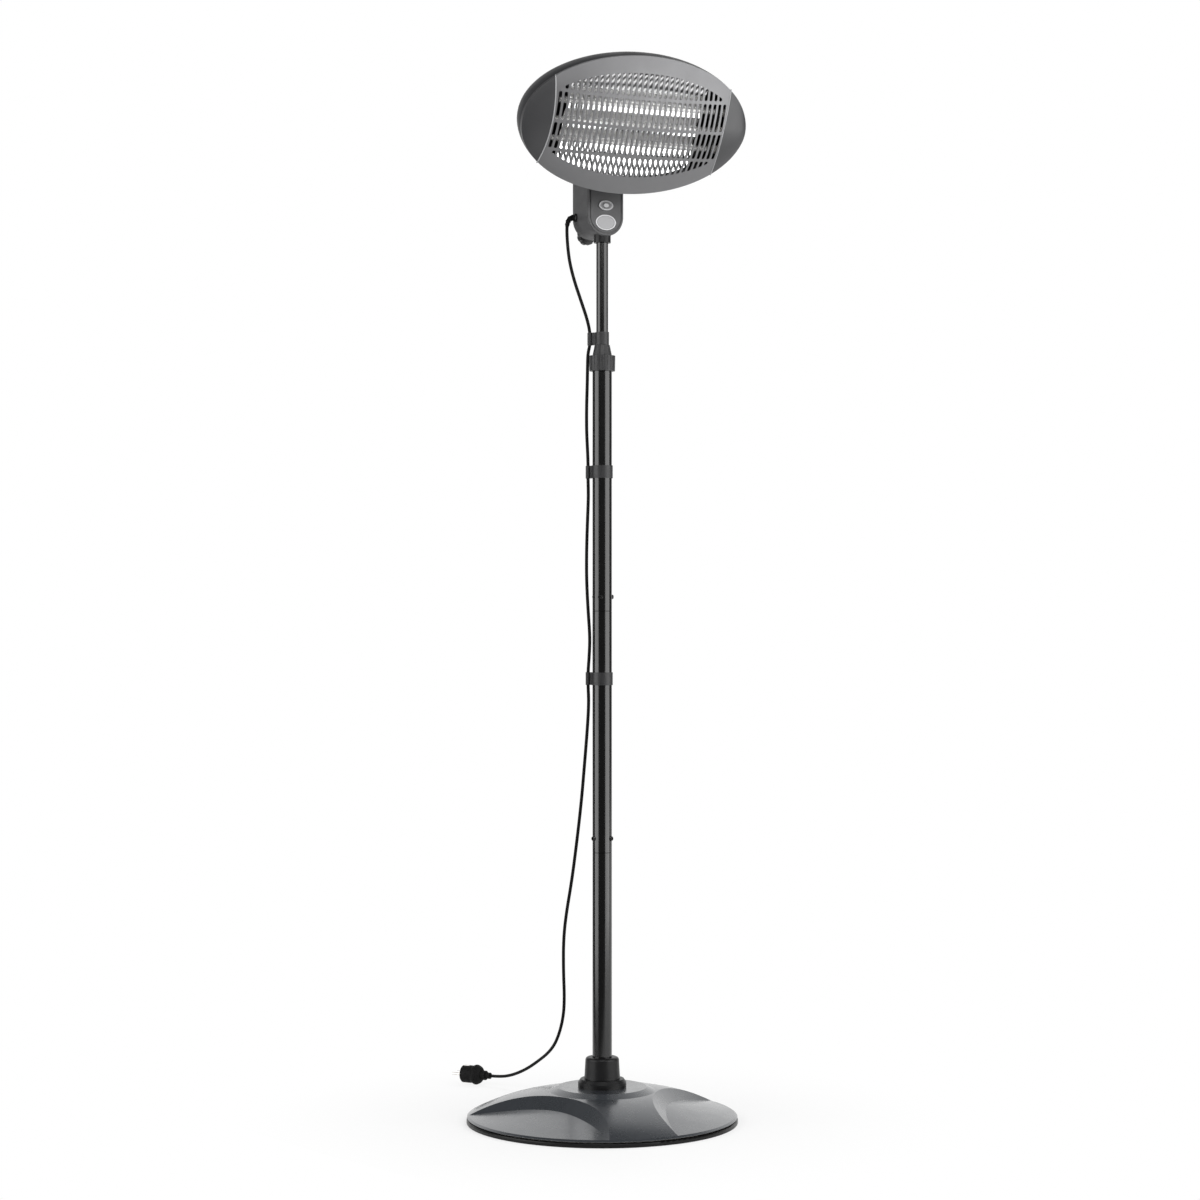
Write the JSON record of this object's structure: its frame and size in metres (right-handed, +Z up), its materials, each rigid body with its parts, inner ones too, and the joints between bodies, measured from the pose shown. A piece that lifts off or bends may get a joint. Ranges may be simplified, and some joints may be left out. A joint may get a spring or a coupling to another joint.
{
  "type": "infrared heater",
  "caption": "Free-standing infrared heater: round weighted base, slim pole, sliding mast with control box, and a tilting oval head with a slotted front over quartz tubes.",
  "frame": {"origin": "on the floor at the pole's axis", "axes": "+Z up along the pole, front of the heater towards -Y, +X to the right seen from behind the camera"},
  "size_m": [0.4999, 0.7423, 1.9398],
  "materials": {
    "base_cover_paint": "semi-gloss slate metallic paint",
    "cast_iron": "rough casting",
    "black_rubber": "smooth black edge trim",
    "zinc_steel": "zinc-plated",
    "black_plastic": "satin black moulding",
    "black_gloss_paint": "gloss black powder coat",
    "black_screws": "black-plated",
    "charcoal_plastic": "matte dark grey moulding",
    "box_plastic": "fine-textured dark grey moulding",
    "silver_plastic": "satin silver",
    "white_plastic": "moulded",
    "panel_paint": "satin grey metallic paint",
    "cap_plastic": "satin dark grey moulding",
    "shell_paint": "satin dark grey paint",
    "bright_aluminium": "polished",
    "quartz": "milky quartz",
    "coil_wire": "bare resistance wire",
    "ceramic": "unglazed white ceramic",
    "cord_rubber": "black sheath",
    "nickel": "nickel-plated brass"
  },
  "bodies": {
    "stand": {"base_cover": "base_cover_paint", "base_weight": "cast_iron", "base_edge_ring": "black_rubber", "base_bolt": "zinc_steel", "base_washer": "zinc_steel", "pole_socket": "black_plastic", "pole_foot_plug": "zinc_steel", "pole_lower": "black_gloss_paint", "pole_middle": "black_gloss_paint", "pole_upper": "black_gloss_paint", "pole_joint_screws": "black_screws", "top_bush": "black_plastic", "clip_lower": "charcoal_plastic", "clip_middle": "charcoal_plastic", "cord_middle": "cord_rubber", "cord_lower": "cord_rubber", "plug_body": "cord_rubber", "plug_pins": "nickel", "plug_earth_clips": "nickel"},
    "mast": {"mast_tube": "black_gloss_paint", "mast_guide": "black_plastic", "clip_upper": "charcoal_plastic", "mast_socket": "black_plastic", "box_body": "box_plastic", "box_cover": "box_plastic", "badge_plate": "silver_plastic", "power_switch": "black_plastic", "terminal_block": "white_plastic", "tip_over_switch": "black_plastic", "cable_gland": "black_plastic", "hinge_knuckle": "black_gloss_paint", "cord_top": "cord_rubber"},
    "head": {"head_bracket": "black_gloss_paint", "hinge_bolt": "zinc_steel", "hinge_nut": "zinc_steel", "front_panel": "panel_paint", "end_cap_left": "cap_plastic", "end_cap_right": "cap_plastic", "rear_shell": "shell_paint", "reflector": "bright_aluminium", "tube_holder_left": "black_screws", "tube_holder_right": "black_screws", "quartz_tube_1": "quartz", "quartz_tube_2": "quartz", "quartz_tube_3": "quartz", "heating_coils": "coil_wire", "ceramic_ends": "ceramic", "thermal_cutout": "black_plastic"},
    "lock_nut": {"lock_nut": "charcoal_plastic"},
    "clamp_knob": {"clamp_knob": "charcoal_plastic"},
    "power_button": {"power_button": "silver_plastic"}
  },
  "joints": [
    {"name": "height_slide", "type": "slide", "parent": "stand", "child": "mast", "axis": [0, 0, 1], "range_m": [0, 0.16], "deforming": ["cord_middle"]},
    {"name": "lock_nut_turn", "type": "hinge", "parent": "stand", "child": "lock_nut", "pos_m": [0, 0, 1.4], "axis": [0, 0, 1], "range_deg": [0, 120]},
    {"name": "clamp_knob_turn", "type": "hinge", "parent": "mast", "child": "clamp_knob", "pos_m": [0, 0.065, 1.642], "axis": [0, 1, 0], "range_deg": [0, 360]},
    {"name": "button_press", "type": "slide", "parent": "mast", "child": "power_button", "axis": [0, 1, 0], "range_m": [0, 0.002], "stiffness_N_per_m": 1500},
    {"name": "head_tilt", "type": "hinge", "parent": "mast", "child": "head", "pos_m": [0, 0.012, 1.762], "axis": [1, 0, 0], "range_deg": [-31, 12]}
  ]
}
